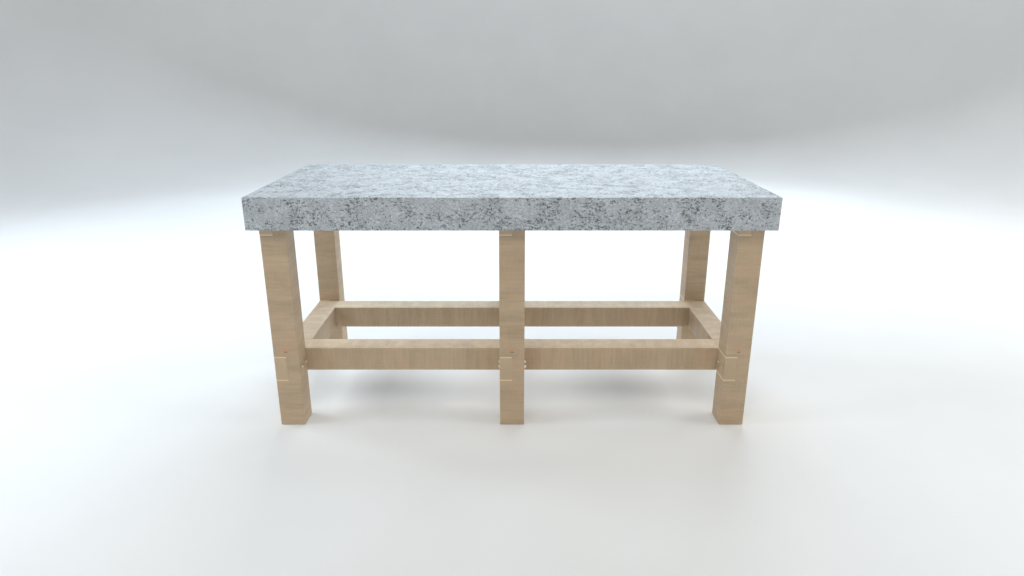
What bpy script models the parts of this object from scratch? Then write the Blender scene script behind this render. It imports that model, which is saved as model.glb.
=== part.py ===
"""A bench: a thick granite slab on a bolted timber frame of six posts.

Millimetre sizes are written in metres. The origin is on the floor under the middle of the slab,
+X runs along the bench, -Y is its front and +Z is up.

Each cross rail ends in a tongue that passes under its stretcher and through a housing in the left
half of its post. Packing strips fill the housing above and below the tongue, and two bolts clamp
the tongue in it. A slab bearer is let into the post tops in the same way and lies on shims.
"""

import math

import bmesh
import bpy
from mathutils import Matrix, Vector

# Slab
SLAB_LENGTH = 1.600
SLAB_DEPTH = 0.700
SLAB_THICKNESS = 0.100
SLAB_END_OVERHANG = 0.030
SLAB_FRONT_OVERHANG = 0.030
SLAB_ARRIS = 0.002

# Posts
POST_WIDTH = 0.080
POST_DEPTH = 0.080
POST_HEIGHT = 0.670
TIMBER_ARRIS = 0.0015

# Stretchers and cross rails, which share their height and the level of their middle
RAIL_HEIGHT = 0.080
RAIL_CENTRE_LEVEL = 0.2025
STRETCHER_WIDTH = 0.080
CROSS_RAIL_WIDTH = 0.080
TONGUE_THICKNESS = 0.040
TONGUE_SHOULDER = 0.0025
PACKING_THICKNESS = 0.005

# Slab bearers, let into the post tops
BEARER_WIDTH = 0.040
BEARER_THICKNESS = 0.018
SHIM_THICKNESS = 0.005
STRIP_ARRIS = 0.0004

# M6 socket-head bolts and thin hexagon nuts
BOLT_DIAMETER = 0.006
BOLT_HEAD_DIAMETER = 0.010
BOLT_HEAD_HEIGHT = 0.006
BOLT_HEAD_CHAMFER = 0.0006
BOLT_TIP_CHAMFER = 0.0008
BOLT_END_SHOWING = 0.0012
BOLT_EDGE_DISTANCE = 0.020
SOCKET_ACROSS_FLATS = 0.005
SOCKET_DEPTH = 0.003
NUT_ACROSS_FLATS = 0.010
NUT_THICKNESS = 0.0032

# Fits
FIT_GAP = 0.0003
BOLT_CLEARANCE = 0.0003
CUT_OVERRUN = 0.010
ROUND_SIDES = 16

# Places that follow from the sizes
FRAME_HALF_DEPTH = SLAB_DEPTH / 2 - SLAB_FRONT_OVERHANG
POST_X = SLAB_LENGTH / 2 - SLAB_END_OVERHANG - POST_WIDTH / 2
POST_Y = FRAME_HALF_DEPTH - POST_DEPTH / 2
STRETCHER_Y = FRAME_HALF_DEPTH - POST_DEPTH - FIT_GAP - STRETCHER_WIDTH / 2
SHOULDER_Y = STRETCHER_Y - STRETCHER_WIDTH / 2 - FIT_GAP
POST_INNER_Y = FRAME_HALF_DEPTH - POST_DEPTH
TONGUE_HEIGHT = RAIL_HEIGHT - 2 * TONGUE_SHOULDER
TONGUE_MIDDLE = (TONGUE_THICKNESS - POST_WIDTH) / 2
BEARER_MIDDLE = (BEARER_WIDTH - POST_WIDTH) / 2
BEARER_LEVEL = POST_HEIGHT - BEARER_THICKNESS / 2
SHIM_LEVEL = POST_HEIGHT - BEARER_THICKNESS - FIT_GAP - SHIM_THICKNESS / 2
PACKING_OFFSET = TONGUE_HEIGHT / 2 + FIT_GAP + PACKING_THICKNESS / 2
SLAB_LEVEL = POST_HEIGHT + FIT_GAP + SLAB_THICKNESS / 2
BOLT_OFFSET_Y = POST_DEPTH / 2 - BOLT_EDGE_DISTANCE

COLUMNS = {"left": -POST_X, "centre": 0.0, "right": POST_X}
ROWS = {"front": -1, "back": 1}


def clear_scene():
    """Removes whatever the opened file holds."""
    for old in list(bpy.data.objects):
        bpy.data.objects.remove(old)


def make_material(name, colour, roughness, metallic=0.0):
    """A Principled material of one colour."""
    material = bpy.data.materials.new(name)
    material.use_nodes = True
    shader = material.node_tree.nodes["Principled BSDF"]
    shader.inputs["Base Color"].default_value = (*colour, 1.0)
    shader.inputs["Roughness"].default_value = roughness
    shader.inputs["Metallic"].default_value = metallic
    material.diffuse_color = (*colour, 1.0)
    return material


def mesh_from(bm, name):
    """Turns a bmesh into a mesh and frees it."""
    mesh = bpy.data.meshes.new(name)
    bm.to_mesh(mesh)
    bm.free()
    return mesh


def block_mesh(name, low, high):
    """A rectangular block between two corners."""
    low, high = Vector(low), Vector(high)
    bm = bmesh.new()
    bmesh.ops.create_cube(bm, size=1.0)
    bmesh.ops.scale(bm, vec=high - low, verts=bm.verts)
    bmesh.ops.translate(bm, vec=(low + high) / 2, verts=bm.verts)
    return mesh_from(bm, name)


def centred_block(name, size):
    """A rectangular block of a size, centred on its origin."""
    half = Vector(size) / 2
    return block_mesh(name, -half, half)


def rod_along_x(name, radius, start, end, sides=ROUND_SIDES, across_flats=False):
    """A round or polygonal rod along X. Its radius is to the flats where across_flats is set."""
    corner_radius = radius / math.cos(math.pi / sides) if across_flats else radius
    turn = Matrix.Rotation(math.pi / 2, 4, "Y")
    place = Matrix.Translation(((start + end) / 2, 0.0, 0.0))
    bm = bmesh.new()
    bmesh.ops.create_cone(
        bm,
        cap_ends=True,
        segments=sides,
        radius1=corner_radius,
        radius2=corner_radius,
        depth=end - start,
        matrix=place @ turn,
    )
    return mesh_from(bm, name)


def turned_along_x(name, profile, sides=ROUND_SIDES):
    """A solid turned about X from (x, radius) points, with a flat face at each end."""
    bm = bmesh.new()
    rings = []
    for x, radius in profile:
        angles = [2 * math.pi * k / sides for k in range(sides)]
        rings.append([bm.verts.new((x, radius * math.cos(a), radius * math.sin(a))) for a in angles])
    for ring, following in zip(rings, rings[1:]):
        for k in range(sides):
            after = (k + 1) % sides
            bm.faces.new((ring[k], ring[after], following[after], following[k]))
    bm.faces.new(rings[0])
    bm.faces.new(rings[-1])
    bmesh.ops.recalc_face_normals(bm, faces=bm.faces)
    return mesh_from(bm, name)


def worked_mesh(blank, arris=0.0, cutters=(), common=None, facets=2):
    """The blank with its edges eased, then each cutter taken away and only the common part kept."""
    scratch = bpy.data.objects.new("blank_in_work", blank)
    bpy.context.scene.collection.objects.link(scratch)
    helpers = [scratch]
    if arris:
        bevel = scratch.modifiers.new("eased_edges", "BEVEL")
        bevel.width = arris
        bevel.segments = facets
        bevel.limit_method = "ANGLE"
        bevel.angle_limit = math.radians(40)
    steps = [("DIFFERENCE", cutter) for cutter in cutters]
    if common:
        steps.append(("INTERSECT", common))
    for number, (operation, mesh) in enumerate(steps):
        helper = bpy.data.objects.new(f"cutter_in_work_{number}", mesh)
        bpy.context.scene.collection.objects.link(helper)
        helpers.append(helper)
        boolean = scratch.modifiers.new(f"cut_{number}", "BOOLEAN")
        boolean.operation = operation
        boolean.solver = "EXACT"
        boolean.object = helper
    graph = bpy.context.evaluated_depsgraph_get()
    graph.update()
    worked = bpy.data.meshes.new_from_object(scratch.evaluated_get(graph), depsgraph=graph)
    worked.name = blank.name + "_worked"
    for helper in helpers:
        bpy.data.objects.remove(helper)
    return worked


def smooth_round(mesh):
    """Smooth shading on a turned piece, with its corners kept sharp."""
    mesh.shade_smooth()
    mesh.set_sharp_from_angle(angle=math.radians(35))
    return mesh


def place(name, mesh, material, location, parent=None):
    """Adds one named piece at a location under its parent."""
    piece = bpy.data.objects.new(name, mesh)
    bpy.context.scene.collection.objects.link(piece)
    piece.location = location
    piece.parent = parent
    if not mesh.materials:
        mesh.materials.append(material)
    return piece


def place_empty(name, location):
    """Adds an empty that a group of pieces hangs on."""
    empty = bpy.data.objects.new(name, None)
    bpy.context.scene.collection.objects.link(empty)
    empty.location = location
    return empty


def slab_mesh():
    """The granite slab, its edges eased."""
    blank = centred_block("slab_blank", (SLAB_LENGTH, SLAB_DEPTH, SLAB_THICKNESS))
    return worked_mesh(blank, SLAB_ARRIS)


def post_housing(name, width, low, high):
    """A cut into the post's left side, right through from front to back."""
    left = -POST_WIDTH / 2
    start = (left - CUT_OVERRUN, -POST_DEPTH / 2 - CUT_OVERRUN, low)
    end = (left + width + FIT_GAP, POST_DEPTH / 2 + CUT_OVERRUN, high)
    return block_mesh(name, start, end)


def bolt_hole(name, y, level):
    """A clearance hole for a bolt, along X through a post or a tongue."""
    radius = BOLT_DIAMETER / 2 + BOLT_CLEARANCE
    reach = POST_WIDTH / 2 + CUT_OVERRUN
    hole = rod_along_x(name, radius, -reach, reach, ROUND_SIDES, across_flats=True)
    hole.transform(Matrix.Translation((0.0, y, level)))
    return hole


def post_mesh():
    """A post that stands on its origin. All six are alike, because each cut runs right through."""
    low = (-POST_WIDTH / 2, -POST_DEPTH / 2, 0.0)
    high = (POST_WIDTH / 2, POST_DEPTH / 2, POST_HEIGHT)
    housing_half = PACKING_OFFSET + PACKING_THICKNESS / 2 + FIT_GAP
    notch_floor = SHIM_LEVEL - SHIM_THICKNESS / 2 - FIT_GAP
    cutters = [
        post_housing(
            "tongue_housing",
            TONGUE_THICKNESS,
            RAIL_CENTRE_LEVEL - housing_half,
            RAIL_CENTRE_LEVEL + housing_half,
        ),
        post_housing("bearer_notch", BEARER_WIDTH, notch_floor, POST_HEIGHT + CUT_OVERRUN),
    ]
    for number, side in enumerate((-1, 1)):
        cutters.append(bolt_hole(f"post_hole_{number}", side * BOLT_OFFSET_Y, RAIL_CENTRE_LEVEL))
    return worked_mesh(block_mesh("post_blank", low, high), TIMBER_ARRIS, cutters)


def stretcher_mesh():
    """A stretcher, halved from below over the three tongues, so that its top stays whole."""
    length = 2 * POST_X + POST_WIDTH
    blank = centred_block("stretcher_blank", (length, STRETCHER_WIDTH, RAIL_HEIGHT))
    half_width = STRETCHER_WIDTH / 2 + CUT_OVERRUN
    cutters = []
    for column, x in COLUMNS.items():
        tongue_left = x - POST_WIDTH / 2
        open_end = CUT_OVERRUN if column == "left" else FIT_GAP
        low = (tongue_left - open_end, -half_width, -RAIL_HEIGHT / 2 - CUT_OVERRUN)
        high = (tongue_left + TONGUE_THICKNESS + FIT_GAP, half_width, FIT_GAP / 2)
        cutters.append(block_mesh(f"{column}_halving", low, high))
    return worked_mesh(blank, TIMBER_ARRIS, cutters)


def cross_rail_mesh():
    """A cross rail with a tongue at each end. Its origin is at the middle of the posts' width."""
    left = -POST_WIDTH / 2
    right = left + CROSS_RAIL_WIDTH
    tongue_right = left + TONGUE_THICKNESS
    half_height = RAIL_HEIGHT / 2
    tongue_half = TONGUE_HEIGHT / 2
    low = (left, -FRAME_HALF_DEPTH, -half_height)
    high = (right, FRAME_HALF_DEPTH, half_height)
    cutters = []
    for end, side in ROWS.items():
        outer = side * (FRAME_HALF_DEPTH + CUT_OVERRUN)
        shoulder = side * SHOULDER_Y
        post_face = side * POST_INNER_Y
        near, far = sorted((outer, shoulder))
        inner, crossing = sorted((post_face, shoulder))
        above = half_height + CUT_OVERRUN
        side_over = CUT_OVERRUN
        cutters += [
            block_mesh(f"{end}_cheek", (tongue_right, near, -above), (right + side_over, far, above)),
            block_mesh(f"{end}_top", (left - side_over, near, tongue_half), (right, far, above)),
            block_mesh(f"{end}_under", (left - side_over, near, -above), (right, far, -tongue_half)),
            block_mesh(
                f"{end}_halving",
                (left - side_over, inner, -FIT_GAP / 2),
                (right, crossing, above),
            ),
        ]
        for number, offset in enumerate((-BOLT_OFFSET_Y, BOLT_OFFSET_Y)):
            cutters.append(bolt_hole(f"{end}_hole_{number}", side * POST_Y + offset, 0.0))
    return worked_mesh(block_mesh("cross_rail_blank", low, high), TIMBER_ARRIS, cutters)


def bearer_mesh():
    """A slab bearer, as long as the frame is deep."""
    size = (BEARER_WIDTH, 2 * FRAME_HALF_DEPTH, BEARER_THICKNESS)
    return worked_mesh(centred_block("bearer_blank", size), STRIP_ARRIS, facets=1)


def packing_mesh():
    """A packing strip, which fills a housing above or below the tongue."""
    size = (TONGUE_THICKNESS, POST_DEPTH, PACKING_THICKNESS)
    return worked_mesh(centred_block("packing_blank", size), STRIP_ARRIS, facets=1)


def shim_mesh():
    """A levelling shim, which lies under a bearer's end."""
    size = (BEARER_WIDTH, POST_DEPTH, SHIM_THICKNESS)
    return worked_mesh(centred_block("shim_blank", size), STRIP_ARRIS, facets=1)


def bolt_mesh():
    """A socket-head bolt along X. Its origin is under the head, and the shank points to -X."""
    radius = BOLT_DIAMETER / 2
    head = BOLT_HEAD_DIAMETER / 2
    grip = POST_WIDTH + FIT_GAP
    tip = -(grip + FIT_GAP + NUT_THICKNESS + BOLT_END_SHOWING)
    profile = [
        (tip, radius - BOLT_TIP_CHAMFER),
        (tip + BOLT_TIP_CHAMFER, radius),
        (0.0, radius),
        (0.0, head),
        (BOLT_HEAD_HEIGHT - BOLT_HEAD_CHAMFER, head),
        (BOLT_HEAD_HEIGHT, head - BOLT_HEAD_CHAMFER),
    ]
    blank = turned_along_x("bolt_blank", profile)
    socket_floor = BOLT_HEAD_HEIGHT - SOCKET_DEPTH
    socket_mouth = BOLT_HEAD_HEIGHT + CUT_OVERRUN
    flats = SOCKET_ACROSS_FLATS / 2
    socket = rod_along_x("socket", flats, socket_floor, socket_mouth, 6, across_flats=True)
    return smooth_round(worked_mesh(blank, cutters=[socket]))


def nut_mesh():
    """A thin hexagon nut along X, chamfered on both faces. Its origin is at its middle."""
    half = NUT_THICKNESS / 2
    flats = NUT_ACROSS_FLATS / 2
    corners = flats / math.cos(math.pi / 6)
    chamfer = corners - flats
    blank = rod_along_x("nut_blank", flats, -half, half, 6, across_flats=True)
    bore_radius = BOLT_DIAMETER / 2 + BOLT_CLEARANCE
    reach = half + CUT_OVERRUN
    bore = rod_along_x("nut_bore", bore_radius, -reach, reach, ROUND_SIDES, across_flats=True)
    rise = chamfer * math.tan(math.radians(30))
    rounding = turned_along_x(
        "nut_rounding",
        [(-half - rise, flats - chamfer), (-half + rise, corners + chamfer),
         (half - rise, corners + chamfer), (half + rise, flats - chamfer)],
        24,
    )
    return smooth_round(worked_mesh(blank, cutters=[bore], common=rounding))


def build_timber_frame(timber):
    """Places the posts, stretchers, cross rails and slab bearers."""
    post = post_mesh()
    for row, side in ROWS.items():
        for column, x in COLUMNS.items():
            place(f"{row}_{column}_post", post, timber, (x, side * POST_Y, 0.0))
    stretcher = stretcher_mesh()
    for row, side in ROWS.items():
        location = (0.0, side * STRETCHER_Y, RAIL_CENTRE_LEVEL)
        place(f"{row}_stretcher", stretcher, timber, location)
    cross_rail = cross_rail_mesh()
    bearer = bearer_mesh()
    for column, x in COLUMNS.items():
        place(f"{column}_cross_rail", cross_rail, timber, (x, 0.0, RAIL_CENTRE_LEVEL))
        place(f"{column}_slab_bearer", bearer, timber, (x + BEARER_MIDDLE, 0.0, BEARER_LEVEL))


def build_joint_fittings(packing_timber, steel):
    """Places the strips, shims, bolts and nuts of each post on an empty at the post's foot."""
    packing = packing_mesh()
    shim = shim_mesh()
    bolt = bolt_mesh()
    nut = nut_mesh()
    for row, side in ROWS.items():
        for column, x in COLUMNS.items():
            joint = f"{row}_{column}"
            foot = place_empty(f"{joint}_foot", (x, side * POST_Y, 0.0))
            for level, sign in (("upper", 1), ("lower", -1)):
                height = RAIL_CENTRE_LEVEL + sign * PACKING_OFFSET
                place(f"{joint}_{level}_packing", packing, packing_timber,
                      (TONGUE_MIDDLE, 0.0, height), foot)
            place(f"{joint}_levelling_shim", shim, packing_timber,
                  (BEARER_MIDDLE, 0.0, SHIM_LEVEL), foot)
            for position, sign in (("outer", side), ("inner", -side)):
                y = sign * BOLT_OFFSET_Y
                head_seat = POST_WIDTH / 2 + FIT_GAP
                nut_middle = -POST_WIDTH / 2 - FIT_GAP - NUT_THICKNESS / 2
                place(f"{joint}_{position}_bolt", bolt, steel, (head_seat, y, RAIL_CENTRE_LEVEL), foot)
                place(f"{joint}_{position}_nut", nut, steel, (nut_middle, y, RAIL_CENTRE_LEVEL), foot)


def main():
    """Builds the bench."""
    clear_scene()
    granite = make_material("granite", (0.62, 0.66, 0.70), 0.35)
    timber = make_material("bench_timber", (0.60, 0.45, 0.30), 0.6)
    packing_timber = make_material("packing_timber", (0.76, 0.66, 0.50), 0.6)
    steel = make_material("zinc_plated_steel", (0.78, 0.78, 0.76), 0.3, 1.0)
    place("granite_slab", slab_mesh(), granite, (0.0, 0.0, SLAB_LEVEL))
    build_timber_frame(timber)
    build_joint_fittings(packing_timber, steel)


main()
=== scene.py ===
"""The looks of a granite-topped timber bench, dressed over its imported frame.

The slab, the timbers, the strips and the fasteners are each a class that makes its meshes, gives
them their finish and hangs them on the frame's body. Sizes are in metres, and places come from the
frame's own nodes.
"""

import logging
import math
from dataclasses import dataclass, field
from enum import Enum
from functools import cache
from typing import Callable, Iterable, Sequence

import bmesh
import bpy
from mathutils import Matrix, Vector


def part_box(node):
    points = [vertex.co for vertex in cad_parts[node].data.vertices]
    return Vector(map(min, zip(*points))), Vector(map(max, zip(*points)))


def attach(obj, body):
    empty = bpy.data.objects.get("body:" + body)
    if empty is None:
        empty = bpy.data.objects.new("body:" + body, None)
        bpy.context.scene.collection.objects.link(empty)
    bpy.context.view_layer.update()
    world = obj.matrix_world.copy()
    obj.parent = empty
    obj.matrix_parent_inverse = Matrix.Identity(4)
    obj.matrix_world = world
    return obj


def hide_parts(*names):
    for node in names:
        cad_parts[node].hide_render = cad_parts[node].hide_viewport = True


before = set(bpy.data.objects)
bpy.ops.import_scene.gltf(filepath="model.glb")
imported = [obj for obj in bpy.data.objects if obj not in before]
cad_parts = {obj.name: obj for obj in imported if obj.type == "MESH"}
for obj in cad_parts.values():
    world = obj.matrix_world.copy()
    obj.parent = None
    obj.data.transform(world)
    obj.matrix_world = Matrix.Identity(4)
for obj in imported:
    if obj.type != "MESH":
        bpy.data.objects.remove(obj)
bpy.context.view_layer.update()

LOG = logging.getLogger("granite_bench")
BODY = "root"
MM = 0.001
SAME_PLANE = 0.01 * MM
ARRIS_ANGLE = math.radians(8)
CORNER_ANGLE = math.radians(60)
SHOULDER_ANGLE = math.radians(15)

FLOAT = "NodeSocketFloat"
WHOLE = "NodeSocketInt"
VECTOR = "NodeSocketVector"
GEOMETRY = "NodeSocketGeometry"
MATERIAL = "NodeSocketMaterial"
OBJECT = "NodeSocketObject"

Triple = tuple[float, float, float]
Colour = Triple
Span = tuple[float, float]
Feed = float | Sequence[float] | bpy.types.NodeSocket | bpy.types.ID


class Along(Enum):
    """The frame axis that a timber's grain runs along."""

    X = 0
    Y = 1
    Z = 2


class Row(Enum):
    """The two rows of posts."""

    FRONT = "front"
    BACK = "back"


class Column(Enum):
    """The three posts of a row."""

    LEFT = "left"
    CENTRE = "centre"
    RIGHT = "right"


def joint_names() -> list[str]:
    """Names the six places where a post stands, row by row."""
    return [f"{row.value}_{column.value}" for row in Row for column in Column]


def joint_nodes(*endings: str) -> list[str]:
    """Names the frame's nodes with these endings at every joint."""
    return [f"{joint}_{ending}" for joint in joint_names() for ending in endings]


class Wiring:
    """Adds nodes to one node tree, fills their sockets and links them."""

    def __init__(self, tree: bpy.types.NodeTree) -> None:
        """Keeps the tree that is worked on.

        Args:
            tree: The shader or geometry tree.
        """
        self.tree = tree

    def feed(self, socket: bpy.types.NodeSocket, value: Feed) -> None:
        """Links or sets one input socket.

        Args:
            socket: The input.
            value: Another node's output, or a plain value.
        """
        if isinstance(value, bpy.types.NodeSocket):
            self.tree.links.new(value, socket)
        else:
            socket.default_value = value

    def node(
        self, kind: str, inputs: dict[str | int, Feed] | None = None, **settings: object
    ) -> bpy.types.Node:
        """Adds a node.

        Args:
            kind: The node's type name.
            inputs: Values or outputs for its inputs, by name or number.
            **settings: The node's own properties.

        Returns:
            The new node.
        """
        made = self.tree.nodes.new(kind)
        for name, value in settings.items():
            setattr(made, name, value)
        for name, value in (inputs or {}).items():
            self.feed(made.inputs[name], value)
        return made

    def math(
        self, operation: str, first: Feed, second: Feed = 0.0, clamp: bool = False
    ) -> bpy.types.NodeSocket:
        """Adds a Math node and returns its value."""
        made = self.node("ShaderNodeMath", {0: first, 1: second}, operation=operation, use_clamp=clamp)
        return made.outputs[0]

    def plus(self, first: Feed, second: Feed, clamp: bool = False) -> bpy.types.NodeSocket:
        """Returns the sum of two values."""
        return self.math("ADD", first, second, clamp)

    def minus(self, first: Feed, second: Feed) -> bpy.types.NodeSocket:
        """Returns the first value less the second."""
        return self.math("SUBTRACT", first, second)

    def times(self, first: Feed, second: Feed, clamp: bool = False) -> bpy.types.NodeSocket:
        """Returns the product of two values."""
        return self.math("MULTIPLY", first, second, clamp)

    def vector(self, operation: str, first: Feed, second: Feed) -> bpy.types.NodeSocket:
        """Adds a Vector Math node and returns its vector."""
        return self.node("ShaderNodeVectorMath", {0: first, 1: second}, operation=operation).outputs[0]

    def scaled(self, vector: Feed, factor: Feed) -> bpy.types.NodeSocket:
        """Returns a vector multiplied by one factor."""
        return self.node("ShaderNodeVectorMath", {0: vector, "Scale": factor}, operation="SCALE").outputs[0]

    def joined(self, parts: dict[str, Feed]) -> bpy.types.NodeSocket:
        """Returns a vector made of its X, Y and Z parts."""
        return self.node("ShaderNodeCombineXYZ", parts).outputs[0]

    def upward(self) -> bpy.types.NodeSocket:
        """Returns how far the surface faces up, from -1 to 1."""
        normal = self.node("ShaderNodeNewGeometry").outputs["Normal"]
        return self.node("ShaderNodeSeparateXYZ", {0: normal}).outputs["Z"]

    def group(self, tree: bpy.types.NodeTree, **inputs: Feed) -> bpy.types.NodeOutputs:
        """Places a shader group, its inputs named in lower case, and returns its outputs."""
        named = {label.replace("_", " ").title(): value for label, value in inputs.items()}
        return self.node("ShaderNodeGroup", named, node_tree=tree).outputs

    def relief(self, shader: bpy.types.Node, height: Feed, distance: float, strength: float) -> None:
        """Gives a shader a relief.

        Args:
            shader: The Principled shader.
            height: The height over the surface, from 0 to 1.
            distance: The depth that a height of 1 stands for.
            strength: The share of it that shows.
        """
        bump = self.node("ShaderNodeBump", {"Height": height, "Distance": distance, "Strength": strength})
        self.feed(shader.inputs["Normal"], bump.outputs["Normal"])

    def length(self, vector: Feed) -> bpy.types.NodeSocket:
        """Returns a vector's length."""
        return self.node("ShaderNodeVectorMath", {0: vector}, operation="LENGTH").outputs["Value"]

    def spread(self, value: Feed, low: float, high: float, start: float = 0.0, end: float = 1.0) -> Feed:
        """Maps a value from one range to another, smoothly and held at both ends.

        Args:
            value: The value.
            low: Where the range that it comes from starts.
            high: Where that range ends.
            start: What the start is mapped to.
            end: What the end is mapped to.

        Returns:
            The mapped value.
        """
        return self.node(
            "ShaderNodeMapRange",
            {"Value": value, "From Min": low, "From Max": high, "To Min": start, "To Max": end},
            interpolation_type="SMOOTHSTEP",
        ).outputs["Result"]

    def mix(self, factor: Feed, first: Feed, second: Feed, blend: str = "MIX") -> bpy.types.NodeSocket:
        """Mixes two colours.

        Args:
            factor: The share of the second colour.
            first: The first colour.
            second: The second colour.
            blend: How they are blended.

        Returns:
            The mixed colour.
        """
        made = self.node("ShaderNodeMix", data_type="RGBA", blend_type=blend)
        for number, value in ((0, factor), (6, first), (7, second)):
            self.feed(made.inputs[number], (*value, 1.0) if isinstance(value, tuple) else value)
        return made.outputs[2]

    def noise(
        self,
        vector: Feed,
        scale: Feed,
        detail: float = 2.0,
        roughness: float = 0.5,
        distortion: float = 0.0,
        output: str = "Fac",
    ) -> bpy.types.NodeSocket:
        """Adds a Noise Texture.

        Args:
            vector: The position that it is read at.
            scale: Its scale per metre.
            detail: The number of its finer layers.
            roughness: The strength of the finer layers.
            distortion: How far it is bent.
            output: Fac for one value or Color for three.

        Returns:
            The output.
        """
        looks = {"Scale": scale, "Detail": detail, "Roughness": roughness, "Distortion": distortion}
        return self.node("ShaderNodeTexNoise", {"Vector": vector, **looks}).outputs[output]

    def attribute(self, name: str, output: str = "Fac") -> bpy.types.NodeSocket:
        """Reads one of the mesh's own attributes in a shader."""
        return self.node("ShaderNodeAttribute", attribute_name=name).outputs[output]


def open_group(
    name: str, kind: str, takes: dict[str, str], gives: dict[str, str]
) -> tuple[Wiring, bpy.types.NodeOutputs, bpy.types.NodeInputs]:
    """Starts a node group with named sockets.

    Args:
        name: The group's name.
        kind: The tree's type name.
        takes: The socket type of each input, by name.
        gives: The socket type of each output, by name.

    Returns:
        The wiring, the sockets that come in and the sockets that go out.
    """
    tree = bpy.data.node_groups.new(name, kind)
    for label, socket_type in takes.items():
        tree.interface.new_socket(name=label, in_out="INPUT", socket_type=socket_type)
    for label, socket_type in gives.items():
        tree.interface.new_socket(name=label, in_out="OUTPUT", socket_type=socket_type)
    wiring = Wiring(tree)
    return wiring, wiring.node("NodeGroupInput").outputs, wiring.node("NodeGroupOutput").inputs


@cache
def board_figure() -> bpy.types.NodeTree:
    """Builds the figure of a board whose grain runs along Z: rings, fibre, ray flecks, ripple and blush.

    Returns:
        The group, which takes the position on the board and the board's seed.
    """
    wiring, given, out = open_group(
        "Board Figure",
        "ShaderNodeTree",
        {"Position": VECTOR, "Seed": FLOAT},
        {"Rings": FLOAT, "Fibre": FLOAT, "Flecks": FLOAT, "Ripple": FLOAT, "Blush": FLOAT},
    )
    drift_per_seed = {"X": 3.7, "Y": 5.3, "Z": 1.9}
    drift = wiring.joined({axis: wiring.times(given["Seed"], pace) for axis, pace in drift_per_seed.items()})
    place = wiring.vector("ADD", given["Position"], drift)
    swing = wiring.times(given["Seed"], 2.4)
    pith_reach = 0.11
    ways = {"X": wiring.math("SINE", swing), "Y": wiring.math("COSINE", swing)}
    pith = wiring.joined({axis: wiring.times(way, pith_reach) for axis, way in ways.items()})
    trunk = wiring.vector("MULTIPLY", wiring.vector("ADD", given["Position"], pith), (1.0, 1.0, 0.07))
    rings = wiring.node(
        "ShaderNodeTexWave",
        {"Vector": trunk, "Scale": 52.0, "Distortion": 2.6, "Detail": 2.0, "Detail Scale": 0.5},
        wave_type="RINGS",
        rings_direction="Z",
        wave_profile="SAW",
    )
    wiring.feed(out["Rings"], rings.outputs["Fac"])
    stretched = wiring.vector("MULTIPLY", place, (1.0, 1.0, 0.022))
    wiring.feed(out["Fibre"], wiring.noise(stretched, 900.0, 4.0, 0.62))
    dashes = wiring.noise(wiring.vector("MULTIPLY", place, (1.0, 1.0, 0.16)), 1150.0, 1.0, 0.4)
    wiring.feed(out["Flecks"], wiring.spread(dashes, 0.64, 0.72))
    across = wiring.vector("MULTIPLY", place, (0.16, 0.16, 1.0))
    wide = wiring.spread(wiring.noise(across, 25.0, 2.0, 0.5, 0.3), 0.30, 0.70, 0.0, 0.55)
    closer = wiring.vector("MULTIPLY", across, (0.6, 0.6, 1.0))
    narrow = wiring.spread(wiring.noise(closer, 110.0, 2.0, 0.6, 0.2), 0.28, 0.72, 0.0, 0.45)
    wiring.feed(out["Ripple"], wiring.plus(wide, narrow))
    wiring.feed(out["Blush"], wiring.spread(wiring.noise(place, 17.0, 2.0, 0.5), 0.44, 0.70))
    return wiring.tree


@cache
def knot_figure() -> bpy.types.NodeTree:
    """Builds a small knot at a place on a board: its dark heart and the warm halo round it.

    Returns:
        The group, which takes the position on the board and the knot's centre and size.
    """
    wiring, given, out = open_group(
        "Knot Figure",
        "ShaderNodeTree",
        {"Position": VECTOR, "Centre": VECTOR, "Size": FLOAT},
        {"Heart": FLOAT, "Halo": FLOAT},
    )
    offset = wiring.vector("SUBTRACT", given["Position"], given["Centre"])
    ragged = wiring.times(wiring.noise(given["Position"], 160.0, 3.0, 0.6), 1.1)
    flat = wiring.length(wiring.vector("MULTIPLY", offset, (1.0, 0.5, 3.4)))
    heart = wiring.plus(wiring.math("DIVIDE", flat, given["Size"]), ragged)
    wiring.feed(out["Heart"], wiring.spread(heart, 0.95, 1.6, 1.0, 0.0))
    lift = wiring.joined({"Z": wiring.times(given["Size"], 1.3)})
    lifted = wiring.vector("SUBTRACT", offset, lift)
    wide = wiring.length(wiring.vector("MULTIPLY", lifted, (0.8, 0.5, 1.0)))
    halo = wiring.plus(wiring.math("DIVIDE", wide, given["Size"]), wiring.times(ragged, 2.2))
    wiring.feed(out["Halo"], wiring.spread(halo, 1.2, 4.2, 1.0, 0.0))
    return wiring.tree


@cache
def edge_wear() -> bpy.types.NodeTree:
    """Builds the wear that follows the arrises, broken up so that it comes and goes along them.

    Returns:
        The group, which takes the position, the scale of the patches and the most wear.
    """
    wiring, given, out = open_group(
        "Edge Wear",
        "ShaderNodeTree",
        {"Position": VECTOR, "Patch Scale": FLOAT, "Amount": FLOAT},
        {"Wear": FLOAT},
    )
    patches = wiring.noise(given["Position"], given["Patch Scale"], 4.0, 0.6)
    rubbed = wiring.times(wiring.spread(patches, 0.34, 0.66), wiring.attribute("arris"))
    wiring.feed(out["Wear"], wiring.times(rubbed, given["Amount"], clamp=True))
    return wiring.tree


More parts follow.
